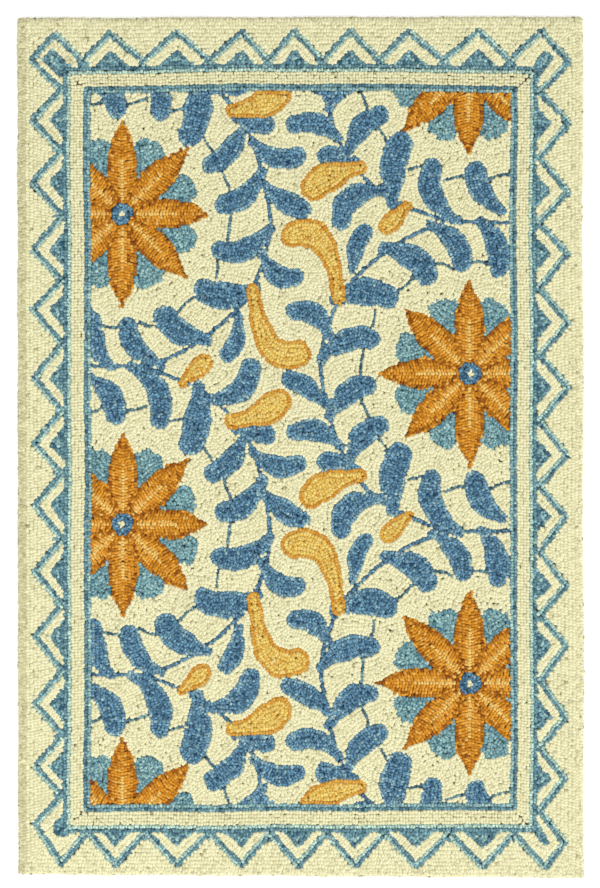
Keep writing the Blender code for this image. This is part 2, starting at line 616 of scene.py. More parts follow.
def bentDrop(row, form):
    # the spine of a leaf or pod, and its half width along it
    stem, tip = np.array(row["stem"], float), np.array(row["tip"], float)
    ahead = tip - stem
    ahead /= np.linalg.norm(ahead)
    leftwards = np.array((-ahead[1], ahead[0]))
    bend = (stem + tip) / 2 + 2 * row["bow"] * leftwards + row.get("late", 0) * ahead
    half = row["width"] / 2
    end = tip - (tip - bend) / np.linalg.norm(tip - bend) * half * roundTip["radius"]
    t = np.linspace(0, 1, roundTip["steps"])
    spine = np.outer((1 - t) ** 2, stem) + np.outer(2 * t * (1 - t), bend) + np.outer(t ** 2, end)
    swelling = form["slim"] + (1 - form["slim"]) * easing(t / form["fullAt"])
    narrowing = roundTip["narrowing"] * easing((t - roundTip["from"]) / roundTip["over"])
    return spine, half * swelling * (1 - narrowing)


def wobblyPlaces(window):
    # no outline is quite smooth: it strays in short waves that differ from place to place
    x, y = places(window)
    strayX = np.sin(y / 5.3 + 1.9 * np.sin(x / 13)) + np.sin((x + y) / 9.1)
    strayY = np.sin(x / 5.9 + 1.7 * np.sin(y / 11)) + np.sin((x - y) / 8.3)
    return x + field["wobble"] * strayX, y + field["wobble"] * strayY


def awayFromDrop(spine, halves, window):
    x, y = wobblyPlaces(window)
    best = np.full(x.shape, beyond)
    for (cx, cy), half in zip(spine, halves):
        best = np.minimum(best, np.hypot(x - cx, y - cy) - half)
    return best


def petalHalf(reach, length):
    # half a petal's width at this distance from the flower's middle
    past = np.clip((reach - flower["widestAt"]) / (length - flower["widestAt"]), 0, 1.2)
    half = np.maximum(flower["petalWidth"] / 2 * (1 - past ** flower["taper"]), flower["tip"])
    return np.minimum(reach * math.tan(math.pi / flower["petals"]), half)


def drawFlower(centre, lengths):
    window = windowRound([centre], flower["petalLength"] + drawnRound["flower"])
    x, y = wobblyPlaces(window)
    x, y = x - centre[0], y - centre[1]
    angle, reach = np.arctan2(y, x), np.hypot(x, y)
    turn = math.tau / flower["petals"]
    number = np.floor(angle / turn)
    toLobe = angle - (number + 0.5) * turn
    outwards, aside = reach * np.cos(toLobe) - flower["lobeCentre"], reach * np.sin(toLobe)
    size = (lengths / flower["petalLength"])[number.astype(int)]
    (long, wide), square = flower["lobeHalf"], flower["lobeSquareness"]
    lobe = (np.abs(outwards) / long) ** square + (np.abs(aside) / wide) ** square
    paint("lobe", window, (lobe ** (1 / square) - size) * wide)
    number = np.round(angle / turn)
    length = lengths[number.astype(int)]
    toPetal = angle - number * turn
    along, across = reach * np.cos(toPetal), np.abs(reach * np.sin(toPetal))
    fromFlank = (across - petalHalf(along, length)) * flower["flank"]
    paint("petal", window, np.maximum(fromFlank, along - length))
    unevenDisc = flower["discUneven"] * np.sin(3 * angle + lengths[0])
    paint("disc", window, reach - flower["disc"] + unevenDisc)
    paint("dot", window, reach - flower["dot"])


def reachesField(points):
    return (np.abs(points[:, 1]) < halfLength - field["fromEnds"]).any()


def drawField(inField):
    # returns the vines to hook along, and the flowers' middles with their petals' lengths
    bareDepth, bareShape = depth.copy(), shape.copy()
    shifts = [step * field["repeat"] for step in (-3, -2, -1, 0, 1, 2)]
    copies = [(turned, shift) for turned in (False, True) for shift in shifts]
    drawnLines, flowersDrawn = [], []
    hand = np.random.default_rng(hooking["seed"])
    lineTables = (
        ("vine", vineWidth, 0.0, vines),
        ("tendril", tendrilWidth, field["tendrilEnds"], tendrils))
    for name, width, further, paths in lineTables:
        for (turned, shift), path in itertools.product(copies, paths):
            points = smoothCurve(placed(path, turned, shift), further=further)
            if not reachesField(points):
                continue
            drawnLines.append((name, points))
            for first in range(0, len(points) - 1, 4):
                part = points[first:first + 5]
                window = windowRound(part, drawnRound["line"])
                paint(name, window, awayFromPath(part, window) - width / 2)
    for name, form, table in (("leaf", leafShape, leaves), ("pod", podShape, pods)):
        for (turned, shift), row in itertools.product(copies, table):
            spine, halves = bentDrop(row, form)
            spine = placed(spine, turned, shift)
            if reachesField(spine):
                window = windowRound(spine, row["width"] + drawnRound["drop"])
                paint(name, window, awayFromDrop(spine, halves, window))
    share, most = flower["unlike"]
    for turned, shift in copies:
        centre = placed([flower["centre"]], turned, shift)[0]
        if abs(centre[1]) < halfLength + field["fromEnds"]:
            unlike = share * hand.uniform(-most, most, flower["petals"])
            lengths = flower["petalLength"] * (1 + unlike)
            lengths[0] *= flower["shortest"]
            drawFlower(centre, lengths)
            flowersDrawn.append((centre, lengths))
    depth[:] = np.where(inField, np.minimum(depth, bareDepth), bareDepth)
    shape[:] = np.where(inField, shape, bareShape)
    return drawnLines, flowersDrawn


drawnLines, flowersDrawn = drawField(drawBorder())
slopeY, slopeX = np.gradient(depth, gridStep)
print("design drawn:", len(drawnLines), "vines and tendrils,", len(flowersDrawn), "flowers")

# Hooking. Every loop is laid in a row: along the drawn lines first, then round inside
# each motif from its outline inwards, then the cream ground round the motifs

random = np.random.default_rng(hooking["seed"])
loops = []  # x, y, heading, shape's number, row
cellSize = 3.5
loopCells = {}


def tooNear(x, y, gap):
    i, j = int(x // cellSize), int(y // cellSize)
    for a in (i - 1, i, i + 1):
        for b in (j - 1, j, j + 1):
            for otherX, otherY in loopCells.get((a, b), ()):
                if (otherX - x) ** 2 + (otherY - y) ** 2 < gap * gap:
                    return True
    return False


def takePlace(x, y):
    loopCells.setdefault((int(x // cellSize), int(y // cellSize)), []).append((x, y))


def hookLoop(x, y, heading, name, row):
    takePlace(x, y)
    loops.append((x, y, heading, shapeCode[name], row))


def lookUp(x, y):
    # depth, its slope and the shape's number at a place
    u, v = (x - gridX[0]) / gridStep, (y - gridY[0]) / gridStep
    i, j = int(u), int(v)
    if not (0 <= i < len(gridX) - 1 and 0 <= j < len(gridY) - 1):
        return -9.0, 0.0, 0.0, 0
    u, v = u - i, v - j
    here = ((depth[j, i] * (1 - u) + depth[j, i + 1] * u) * (1 - v)
            + (depth[j + 1, i] * (1 - u) + depth[j + 1, i + 1] * u) * v)
    i, j = i + (u > 0.5), j + (v > 0.5)
    return here, slopeX[j, i], slopeY[j, i], shape[j, i]


def spacedAlong(path, pitch, back, ahead):
    # evenly spaced places along a path, and each one's heading from a little back to ahead
    path = np.asarray(path, float)
    run = np.concatenate(([0], np.cumsum(np.hypot(*np.diff(path, axis=0).T))))
    count = max(1, round(run[-1] / pitch))
    at = (np.arange(count) + 0.5) * run[-1] / count

    def placeAt(along):
        return np.stack([np.interp(along, run, path[:, axis]) for axis in (0, 1)])

    (x, y), (aheadX, aheadY) = placeAt(at), placeAt(at + ahead) - placeAt(at - back)
    return list(zip(x, y, np.arctan2(aheadY, aheadX)))


def hookAlong(path, name, row, pitch, only=None, gap=None):
    for x, y, heading in spacedAlong(path, pitch, back=0.8, ahead=0.8):
        if only is not None and lookUp(x, y)[3] != shapeCode[only]:
            continue
        if gap is None or not tooNear(x, y, gap):
            hookLoop(x, y, heading, name, row)


def hookRound(name):
    # rows that follow the shape's outline, from its edge inwards to its deepest place
    inShape = shape == shapeCode[name]
    first = hooking["firstRow"].get(name, hooking["rowPitch"] / 2)
    deepest = depth[inShape].max() + gridStep / 2
    for row in range(int((deepest - first) / hooking["rowPitch"]) + 1):
        level = first + row * hooking["rowPitch"]
        startY, startX = np.nonzero(inShape & (np.abs(depth - level) < gridStep / 2))
        for j, i in zip(startY, startX):
            if not tooNear(gridX[i], gridY[j], hooking["startGap"]):
                followLevel(gridX[i], gridY[j], level, name, row)


def followLevel(startX, startY, level, name, row):
    _, slopeAcross, slopeAlong, _ = lookUp(startX, startY)
    hookLoop(startX, startY, math.atan2(slopeAcross, -slopeAlong), name, row)
    for step in (hooking["loopPitch"], -hooking["loopPitch"]):
        x, y = startX, startY
        while True:
            _, a, b, _ = lookUp(x, y)
            slope = math.hypot(a, b)
            if slope < 0.2:  # a ridge in the middle of the shape, where a row has no way on
                break
            x, y = x - b / slope * step, y + a / slope * step
            for _ in range(2):
                here, a, b, _ = lookUp(x, y)
                back = max(-1.0, min(1.0, level - here)) / max(a * a + b * b, 0.1)
                x, y = x + a * back, y + b * back
            here, a, b, code = lookUp(x, y)
            strayed = code != shapeCode[name] or abs(here - level) > hooking["rowStray"]
            if strayed or tooNear(x, y, hooking["closest"]):
                break
            hookLoop(x, y, math.atan2(a, -b), name, row)


def frameLegs(offsets):
    # the four sides of one row of the frame
    rectangle = frameCorners(offsets)
    legs = []
    for start, end in zip(rectangle[:-1], rectangle[1:]):
        x, y = np.linspace(start, end, 60).T
        strayX, strayY = frameStray(x, y)
        legs.append(np.stack((x - strayX, y - strayY), 1))
    return legs


def hookFrames():
    pitch = hooking["loopPitch"]
    for line in ("outer", "inner"):
        quarter = border[line + "Line"] / 4
        for row, aside in enumerate((-quarter, quarter)):
            for leg in frameLegs(frameOffsets(line, aside)):
                hookAlong(leg, line + "Line", row, pitch, gap=hooking["frameGap"])
    outside = frameOffsets("outer", border["outerLine"] / 2)
    inside = frameOffsets("inner", -border["innerLine"] / 2)
    for row in range(border["stripeRows"]):
        share = (row + 0.5) / border["stripeRows"]
        for leg in frameLegs([a * (1 - share) + b * share for a, b in zip(outside, inside)]):
            hookAlong(leg, "stripe", row, pitch, gap=hooking["closest"])


def hookEdgeGround():
    # straight rows along the rug's edges, in from the rim
    name = "edgeGround"
    for row in range(border["edgeRows"]):
        corners = frameCorners((rim["firstFlatRow"] + row * hooking["rowPitch"],) * 4)
        for leg in zip(corners[:-1], corners[1:]):
            hookAlong(leg, name, row, hooking["loopPitch"], only=name, gap=hooking["closest"])


def hookZigzag():
    # two rows, a quarter of the line's width either side of its middle
    path, widths = zigzagPath()
    corners = np.array(path[:-1])
    ahead = np.roll(corners, -1, 0) - corners
    ahead /= np.hypot(*ahead.T)[:, None]
    left = np.stack((-ahead[:, 1], ahead[:, 0]), 1)
    mitre = left + np.roll(left, 1, 0)
    mitre /= (mitre ** 2).sum(1)[:, None] / 2
    for row, aside in enumerate((0.25, -0.25)):
        moved = corners + mitre * (aside * widths)[:, None]
        for leg, (dx, dy) in zip(zip(moved, np.roll(moved, -1, 0)), ahead):
            shade = row if dx * dy > 0 else 1 - row
            hookAlong(leg, "zigzag", shade, hooking["linePitch"], gap=hooking["zigzagGap"])


def hookPetal(centre, heading, length):
    # ribs run out from the middle to both edges, slanting towards the tip. The middle
    # loop of a rib is pale near the flower's disc, and the last loop before the edge rust
    c, s = math.cos(heading), math.sin(heading)
    start, end = flower["midrib"]
    step, slant = flower["ribStep"], flower["ribSlant"]
    reach = flower["disc"] + 1.0
    while reach < length + 1:
        for side, steps in ((-1, 0), (1, 1)):
            while True:
                across = steps * step
                at = reach + slant * across
                half = float(petalHalf(at, length))
                if steps and across > half - 1.0:
                    break
                x = centre[0] + at * c - side * across * s
                y = centre[1] + at * s + side * across * c
                if lookUp(x, y)[3] == shapeCode["petal"] and not tooNear(x, y, hooking["petalGap"]):
                    atEdge = petalHalf(at + slant * step, length) - across < step + 1.0
                    pale = start < at < end - flower["midribTaper"] * steps
                    row = 3 if atEdge else steps if pale and steps < 2 else 2
                    turn = side * (math.pi / 2 - slant) if steps else math.pi / 2
                    hookLoop(x, y, heading + (turn if half > step else 0.0), "petal", row)
                steps += 1
        reach += flower["ribPitch"]


def hookGaps():
    # wherever the rows leave a gap, a loop is pulled up in it
    reach = hooking["fillerGap"]
    span = int(reach / gridStep) + 1
    bare = (shape > 0) & (insetFromEdge(*places(wholeGrid)) > rim["firstFlatRow"] - 1.5)
    for x, y, *_ in loops:
        i, j = round((x - gridX[0]) / gridStep), round((y - gridY[0]) / gridStep)
        rows, columns = slice(max(j - span, 0), j + span + 1), slice(max(i - span, 0), i + span + 1)
        away = (gridX[columns] - x) ** 2 + (gridY[rows, None] - y) ** 2
        bare[rows, columns] &= away >= reach * reach
    gapY, gapX = np.nonzero(bare)
    for n in random.permutation(len(gapY)):
        j, i = gapY[n], gapX[n]
        if not tooNear(gridX[i], gridY[j], reach):
            heading = math.atan2(slopeX[j, i], -slopeY[j, i])
            hookLoop(gridX[i], gridY[j], heading, shapeNames[shape[j, i]], hooking["fillerRow"])


rim = {  # the outer rows lean out and roll over the edge
    "lean": (18.0, 55.0, 90.0),  # degrees from upright, row by row
    "pitch": 3.3,
    "firstFlatRow": 6.9,  # millimetres in from the edge
}
rimLoops = []  # x, y, heading, degrees of lean


def hookRim():
    for lean in rim["lean"]:
        inset = rug["pileRoll"] * (1 - math.sin(math.radians(lean)))
        radius = max(rug["cornerRadius"] - inset, 0.4)
        x, y = halfWidth - inset - radius, halfLength - inset - radius
        path = []
        for quarter, (cx, cy) in enumerate(((x, y), (-x, y), (-x, -y), (x, -y))):
            for turn in np.radians(np.linspace(0, 90, 8) + 90 * quarter):
                path.append((cx + radius * math.cos(turn), cy + radius * math.sin(turn)))
        for px, py, heading in spacedAlong(path + path[:1], rim["pitch"], back=0.0, ahead=0.5):
            rimLoops.append((px, py, heading, lean))
            takePlace(px, py)


hookRim()
hookFrames()
hookZigzag()
for name, points in drawnLines:
    hookAlong(points, name, 0, hooking["linePitch"], only=name, gap=hooking["vineGap"])
for centre, lengths in flowersDrawn:
    for petal, length in enumerate(lengths):
        hookPetal(centre, petal * math.tau / flower["petals"], length)
for name in ("dot", "pod", "disc", "lobe", "leaf", "triangle", "chevron"):
    hookRound(name)
hookEdgeGround()
hookRound("fieldGround")
hookGaps()
print("hooked:", len(loops), "loops and", len(rimLoops), "over the edge")

# Yarn

woolYarn = {
    "plySpacing": 2.0,  # mm between the plies' ridges, coarser than the real 0.9 so that they show
    "plyRelief": 0.22,
    "plyShadeAndHighlight": (0.82, 1.08),  # painted shade in a ply's groove and painted highlight on its ridge
    "fullShade": 0.12,  # the tone where nothing but the deep colour is left
    "fibreClump": 0.55,  # mm, clumps of fibre, which are as fine as can show
    "fibreRelief": 0.08,
    "roughness": (0.85, 1.0),
    "sheen": 0.1,
    "sheenRoughness": 0.5,
    "specular": 0.14,
}

# darkest, usual and palest yarn of each colour, the deep colour that darker heather and the painted
# shade between its loops tend to, how uneven its dye is, in patches of how many mm, and how much
# light the painted shade at a loop's foot leaves
yarnDyes = {
    "creamWool": {
        "shades": ("#8f8655", "#f0ecc0", "#f8f5d7"), "deep": "#6a6238",
        "uneven": 0.16, "patch": 1.3, "root": 0.73},
    "leafBlueWool": {
        "shades": ("#224b6b", "#709fb8", "#bcdcd2"), "deep": "#05253c",
        "uneven": 0.6, "patch": 1.8, "root": 0.3},
    "lineBlueWool": {
        "shades": ("#365f73", "#8ab6bc", "#cdebd6"), "deep": "#0e303a",
        "uneven": 0.46, "patch": 1.8, "root": 0.46},
    "lightBlueWool": {
        "shades": ("#447a90", "#92bcbd", "#c8e4dc"), "deep": "#173f46",
        "uneven": 0.52, "patch": 1.8, "root": 0.34},
    "orangeWool": {
        "shades": ("#8e4c09", "#e6a02b", "#f6d278"), "deep": "#6e3300",
        "uneven": 0.3, "patch": 1.4, "root": 0.58},
    "yellowWool": {
        "shades": ("#d0861e", "#efd06b", "#f8e498"), "deep": "#7c4e02",
        "uneven": 0.34, "patch": 1.6, "root": 0.54},
}


def hookedWool(name):
    # Two-ply worsted wool, dyed in the hank and hooked in loops. The scaly fibres scatter
    # the light, so it is matt with a faint bloom, each ply shows as a slanting ridge,
    # and the dye lies unevenly from loop to loop and along the yarn
    # its colour also carries painted shade at each loop's foot and in each ply's groove, and
    # painted highlight on each ply's ridge
    colours = yarnDyes[name]
    dark, usual, pale = (linear(colour) for colour in colours["shades"])
    material = newMaterial(name)
    dye = addNode(material, "Attribute", attribute_name="dye")
    root = addNode(material, "Attribute", attribute_name="root")
    along = addNode(material, "UVMap", uv_map="alongYarn")
    place = addNode(material, "TexCoord")
    lower = addNode(material, "MapRange", {
        "Value": dye.outputs["Fac"], "From Min": 0.0, "From Max": 0.5})
    upper = addNode(material, "MapRange", {
        "Value": dye.outputs["Fac"], "From Min": 0.5, "From Max": 1.0})
    darker = addNode(material, "Mix", {0: lower.outputs[0], 6: dark, 7: usual}, data_type="RGBA")
    dyed = addNode(material, "Mix", {
        0: upper.outputs[0], 6: darker.outputs[2], 7: pale}, data_type="RGBA")
    heather = addNode(material, "TexNoise", {
        "Vector": place.outputs["Object"], "Scale": 1 / (colours["patch"] * mm), "Detail": 3.0})
    heatherTone = addNode(material, "MapRange", {
        "Value": heather.outputs["Fac"], "From Min": 0.38, "From Max": 0.62,
        "To Min": 1 - colours["uneven"], "To Max": 1 + colours["uneven"] * 0.5})
    fibre = addNode(material, "TexNoise", {
        "Vector": place.outputs["Object"], "Scale": 1 / (woolYarn["fibreClump"] * mm),
        "Detail": 4.0, "Roughness": 0.65})
    # a wave texture's bands come every 0.628 diagonally at scale 1
    ply = addNode(material, "TexWave", {
        "Vector": along.outputs["UV"], "Scale": 0.628 / (woolYarn["plySpacing"] * math.sqrt(2)),
        "Distortion": 0.6, "Detail": 1.0}, bands_direction="DIAGONAL")
    # painted shade in each ply's groove and painted highlight on its ridge
    groove, ridge = woolYarn["plyShadeAndHighlight"]
    plyShadeAndHighlight = addNode(material, "MapRange", {
        "Value": ply.outputs["Fac"], "To Min": groove, "To Max": ridge})
    # painted shade: the colour darkens towards each loop's foot, deep in the pile between loops
    paintedFootShade = addNode(material, "MapRange", {
        "Value": root.outputs["Fac"], "To Min": 1.0, "To Max": colours["root"]})
    mottledAndShaded = addNode(material, "Math", {
        0: heatherTone.outputs[0], 1: plyShadeAndHighlight.outputs[0]}, operation="MULTIPLY")
    tone = addNode(material, "Math", {
        0: mottledAndShaded.outputs[0], 1: paintedFootShade.outputs[0]}, operation="MULTIPLY")
    # a tone above 1 brightens the dye, as paler heather and the painted highlight on a ply's
    # ridge do, and one below shades it towards the deep colour, as darker heather and the
    # painted shade in a ply's groove and at a loop's foot do
    lit = addNode(material, "Math", {0: tone.outputs[0], 1: 1.0}, operation="MAXIMUM")
    bright = addNode(material, "VectorMath", {
        0: dyed.outputs[2], "Scale": lit.outputs[0]}, operation="SCALE")
    shade = addNode(material, "MapRange", {
        "Value": tone.outputs[0], "From Min": 1.0, "From Max": woolYarn["fullShade"]})
    colour = addNode(material, "Mix", {
        0: shade.outputs[0], 6: bright.outputs[0], 7: linear(colours["deep"])}, data_type="RGBA")
    relief = addNode(material, "Math", {
        0: ply.outputs["Fac"], 1: woolYarn["plyRelief"]}, operation="MULTIPLY")
    height = addNode(material, "Math", {
        0: fibre.outputs["Fac"], 1: woolYarn["fibreRelief"], 2: relief.outputs[0]},
        operation="MULTIPLY_ADD")
    bump = addNode(material, "Bump", {
        "Height": height.outputs[0], "Distance": mm, "Strength": 0.8})
    smoothest, roughest = woolYarn["roughness"]
    roughness = addNode(material, "MapRange", {
        "Value": fibre.outputs["Fac"], "To Min": smoothest, "To Max": roughest})
    shader = addNode(material, "BsdfPrincipled", {
        "Base Color": colour.outputs[2], "Roughness": roughness.outputs[0],
        "Normal": bump.outputs[0], "Specular IOR Level": woolYarn["specular"],
        "Sheen Weight": woolYarn["sheen"], "Sheen Roughness": woolYarn["sheenRoughness"],
        "IOR": 1.54})
    addNode(material, "OutputMaterial", {"Surface": shader.outputs[0]})
    return material


loopShape = {  # millimetres, before each loop's own variation
    "length": 3.75,
    "width": 5.4,
    "footDrop": 2.0,
    "sideDrop": 2.0,
    "crown": 0.26,  # how far the top falls from its middle to its shoulders
    "turn": 11.0,  # degrees, how much loops turn from their row
    "tilt": 9.0,
    "stray": 0.3,
    "heightSpread": 0.22,
    "heightRange": (-0.6, 0.3),
    "sizeSpread": 0.05,
    "lowest": 0.4,  # no loop comes through the foundation cloth
    "usualSpacing": 3.95,
    "parting": 0.1,  # how much thinner the rows are where they part
    "drawnApart": (82.0, 0.9),  # how near the top edge the frame's rows lie apart, and their share
}
ribLoop = {"length": 4.9, "width": 3.55}  # loops of a rib run together, and the ribs stand apart

# The share of its usual room that a loop takes up. Tendrils are of thinner yarn, the rows
# of the stripe and the lines lie close, and those of the chevrons spread to fill them
yarnShare = {
    "tendril": 0.7,
    "stripe": 0.86,
    "zigzag": 0.87,
    "outerLine": 0.87,
    "innerLine": 0.87,
    "vine": 0.87,
    "chevron": 1.12,
}
podRimShare = 0.95  # a pod's outline is of thinner yarn too

# One loop: a foot of three points, two arches of five, and another foot. Each point is
# given as a share of the length, a share of the width, its height, how deep in the pile it
# is, which sets how much painted shade it takes, and how far round the yarn
crownDrop = loopShape["crown"] / loopShape["sideDrop"]
footPoints = ((-0.38, 1.0, 1.0), (0.0, 0.8, 0.65), (0.38, 1.0, 1.0))
archPoints = (
    (-0.58, 1.0, 1.0), (-0.33, crownDrop, 0.25), (0.0, 0.0, 0.0),
    (0.33, crownDrop, 0.25), (0.58, 1.0, 1.0))
loopPoints = []
for along, points, drop, around in (
        (-0.6, footPoints, loopShape["footDrop"], 1.0),
        (-0.2, archPoints, loopShape["sideDrop"], 1.16),
        (0.2, archPoints, loopShape["sideDrop"], 1.16),
        (0.6, footPoints, loopShape["footDrop"], 1.0)):
    for across, down, deep in points:
        loopPoints.append((along, across, -down * drop, deep, 0.5 + across / around))
loopPoints = np.array(loopPoints)
loopFaces = (
    (0, 4, 3), (0, 1, 5, 4), (1, 2, 6, 5), (2, 7, 6),
    (3, 4, 9, 8), (4, 5, 10, 9), (5, 6, 11, 10), (6, 7, 12, 11),
    (8, 9, 13), (9, 10, 14, 13), (10, 11, 15, 14), (11, 12, 15))
faceSizes = np.array([len(face) for face in loopFaces])
alongLoop = np.repeat((0.0, 0.3, 0.7, 1.0), (3, 5, 5, 3))
yarnRun, yarnRound, yarnLength = 6.5, 6.0, 9.0  # mm of yarn in a loop, round it, and to start along
bakeMargin = 0.12


def shapeLoops(spots, lean, room, form, own):
    # every loop's points, in metres, each loop with its own size, turn, tilt and place
    count = len(spots)
    spread = loopShape["sizeSpread"]
    length = form["length"] * (1 + spread * own.standard_normal(count)) * (1 + room) / 2
    width = form["width"] * (1 + spread * own.standard_normal(count)) * room
    turn = spots[:, 3] + np.radians(loopShape["turn"]) * own.standard_normal(count)
    tilt = lean + np.radians(loopShape["tilt"]) * own.standard_normal(count)
    u = loopPoints[:, 0] * length[:, None]
    v = loopPoints[:, 1] * width[:, None]
    w = np.broadcast_to(loopPoints[:, 2], u.shape)
    across = v * np.cos(tilt)[:, None] - w * np.sin(tilt)[:, None]
    up = v * np.sin(tilt)[:, None] + w * np.cos(tilt)[:, None]
    strays = np.array((loopShape["stray"], loopShape["stray"], loopShape["heightSpread"]))
    strayX, strayY, strayZ = own.standard_normal((3, count)) * strays[:, None]
    strayZ = np.clip(strayZ, *loopShape["heightRange"])
    c, s = np.cos(turn)[:, None], np.sin(turn)[:, None]
    x = (spots[:, 0] + strayX)[:, None] + u * c - across * s
    y = (spots[:, 1] + strayY)[:, None] + u * s + across * c
    x, y = uneven(x, y)
    swelling = swell(spots[:, 0], spots[:, 1]) * spots[:, 2] / rug["thickness"]
    z = (spots[:, 2] + strayZ + swelling)[:, None] + up
    z = np.maximum(z, loopShape["lowest"])
    return np.stack((x - middle[0], y - middle[1], z), 2) * mm


def yarnLoops(name, spots, lean, room, dye, material, form=loopShape):
    # spots: x, y, z, heading in millimetres and radians; lean: outwards, in radians;
    # room: how much of its usual room each loop has, which its yarn fills
    count, perLoop = len(spots), len(loopPoints)
    own = np.random.default_rng(len(name) * 1000 + count)
    points = shapeLoops(spots, lean, room, form, own)
    corners = (np.arange(count)[:, None] * perLoop + np.concatenate(loopFaces)).ravel()
    starts = np.concatenate(([0], np.cumsum(np.tile(faceSizes, count))[:-1]))
    mesh = bpy.data.meshes.new(name)
    mesh.vertices.add(count * perLoop)
    mesh.vertices.foreach_set("co", points.ravel())
    mesh.loops.add(len(corners))
    mesh.loops.foreach_set("vertex_index", corners)
    mesh.polygons.add(len(starts))
    mesh.polygons.foreach_set("loop_start", starts)
    mesh.update(calc_edges=True)
    mesh.shade_smooth()

    # how pale the dye is, and how near the foot of the loop, where the wool paints shade
    tones = {"dye": np.repeat(dye, perLoop), "root": np.tile(loopPoints[:, 3], count)}
    for title, values in tones.items():
        attribute = mesh.attributes.new(title, "FLOAT", "POINT")
        attribute.data.foreach_set("value", values.astype(np.float32))
    # where each point lies along and round the yarn, and in the loop's own square of the bake
    along = alongLoop * yarnRun + own.random(count)[:, None] * yarnLength
    around = loopPoints[:, 4] * yarnRound + np.zeros((count, 1))
    side = math.ceil(math.sqrt(count))
    square = np.stack((np.arange(count) % side, np.arange(count) // side), 1)[:, None]
    inSquare = bakeMargin + (1 - 2 * bakeMargin) * np.stack((alongLoop, loopPoints[:, 4]), 1)
    layouts = {"alongYarn": np.stack((along, around), 2), "OFBake": (square + inSquare) / side}
    for title, layout in layouts.items():
        layer = mesh.uv_layers.new(name=title)
        layer.data.foreach_set("uv", layout.reshape(-1, 2)[corners].astype(np.float32).ravel())
    mesh.materials.append(material)
    piece = addObject(name, mesh)
    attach(piece, "root")
    print(name, count, "loops", count * int((faceSizes - 2).sum()), "triangles")
    return piece


loopTable = np.array(loops)
loopX, loopY, loopHeading = loopTable[:, :3].T
loopCode, loopRow = loopTable[:, 3:].astype(int).T


def patches(x, y):
    # slow waves from -1 to 1 that show where the rows part
    return np.sin(x / 9.1 + 2.1 * np.sin(y / 33)) * np.sin(y / 12.7 + 1.7 * np.sin(x / 41))


def roomRound(xs, ys):
    # the mean distance to the nearest five loops, as a share of the usual one, and a
    # little less where the rows part
    tree = KDTree(len(xs))
    for number, (x, y) in enumerate(zip(xs, ys)):
        tree.insert((x, y, 0), number)
    tree.balance()
    nearest = 5
    spacing = [sum(near[2] for near in tree.find_n((x, y, 0), nearest + 1)) for x, y in zip(xs, ys)]
    spacing = np.array(spacing) / nearest / loopShape["usualSpacing"]
    parting = loopShape["parting"] * np.clip(patches(xs, ys) - 0.35, 0, None) / 0.65
    return np.clip(spacing, 0.93, 1.3) * (1 - parting)


def isPart(*names):
    return np.isin(loopCode, [shapeCode[name] for name in names])


creamParts = ("edgeGround", "chevron", "stripe", "fieldGround", "dot")
thinShadedLoops = {"anywhere": 0.002, "inPatches": 0.02, "share": 0.58}  # loops that are thinner and dyed dark, as painted shade for dark gaps in the ground

loopRoom = roomRound(loopX, loopY)
for name, share in yarnShare.items():
    loopRoom[isPart(name)] *= share
loopRoom[isPart("pod") & (loopRow == 0)] *= podRimShare
isThinShaded = random.random(len(loops)) < thinShadedLoops["anywhere"] + thinShadedLoops["inPatches"] * np.clip(
    patches(loopY * 0.4, loopX * 0.4) - 0.3, 0, 1)
isThinShaded &= isPart(*creamParts)
loopRoom[isThinShaded] *= thinShadedLoops["share"]
fromTop, share = loopShape["drawnApart"]
loopRoom[isPart("stripe", "outerLine", "innerLine") & (loopY > halfLength - fromTop)] *= share

paintedEdgeShade = {
    "worst": 5.0,  # millimetres in from the edge
    "reach": 13.0,
    "left": 0.22,  # how much darker, on the scale of the dyes
    "top": 0.06,
    "bottom": 0.03,
    "right": 0.03,
}


def edgeShading(x, y):
    # painted shade: the pile is dyed darker along the edges where it rolls over, most along the
    # left edge, which is turned from the key light
    darkened = np.zeros(len(x))
    worst, reach = paintedEdgeShade["worst"], paintedEdgeShade["reach"]
    insets = {
        "left": x + halfWidth, "right": halfWidth - x,
        "bottom": y + halfLength, "top": halfLength - y}
    for side, inset in insets.items():
        fadeIn = 0.2 + 0.8 * easing(inset / worst)
        fadeOut = 1 - easing((inset - worst) / (reach - worst))
        darkened = np.maximum(darkened, paintedEdgeShade[side] * np.minimum(fadeIn, fadeOut))
    return darkened


# 0 is the darkest yarn, 0.5 the usual and 1 the palest: for each row from the outline
# inwards, and the last for all further ones. A petal's rows are its midrib, the loops
# beside it, the rest and its edge
rowDyes = {
    "leaf": (0.56, 0.42),
    "vine": (0.38,),
    "disc": (0.38,),
    "tendril": (0.2,),
    "zigzag": (0.36, 0.8, 0.5),
    "outerLine": (0.34, 0.95, 0.5),
    "innerLine": (0.33, 0.6, 0.5),
    "triangle": (0.28, 0.56),
    "lobe": (0.36, 0.5),
    "petal": (0.94, 0.62, 0.44, 0.2, 0.5),
    "pod": (0.17, 0.5),
}
dyeSpread = {"cream": 0.06, "colours": 0.13, "tendril": 0.17, "podRim": 0.07, "rim": 0.06}
gapShadeDye = 0.2


def dyeOf():
    usual = np.full(len(loops), 0.5)
    for name, dyes in rowDyes.items():
        chosen = isPart(name)
        usual[chosen] = np.array(dyes)[np.minimum(loopRow[chosen], len(dyes) - 1)]
    spread = np.where(isPart(*creamParts), dyeSpread["cream"], dyeSpread["colours"])
    spread[isPart("tendril")] = dyeSpread["tendril"]
    spread[isPart("pod") & (loopRow == 0)] = dyeSpread["podRim"]
    usual = usual + random.standard_normal(len(loops)) * spread
    # painted shade along the rolled edges
    usual = usual - isPart("edgeGround") * edgeShading(loopX, loopY)
    # the thinner loops take a dark dye as painted shade in the gaps they leave
    return np.where(isThinShaded, gapShadeDye, usual)


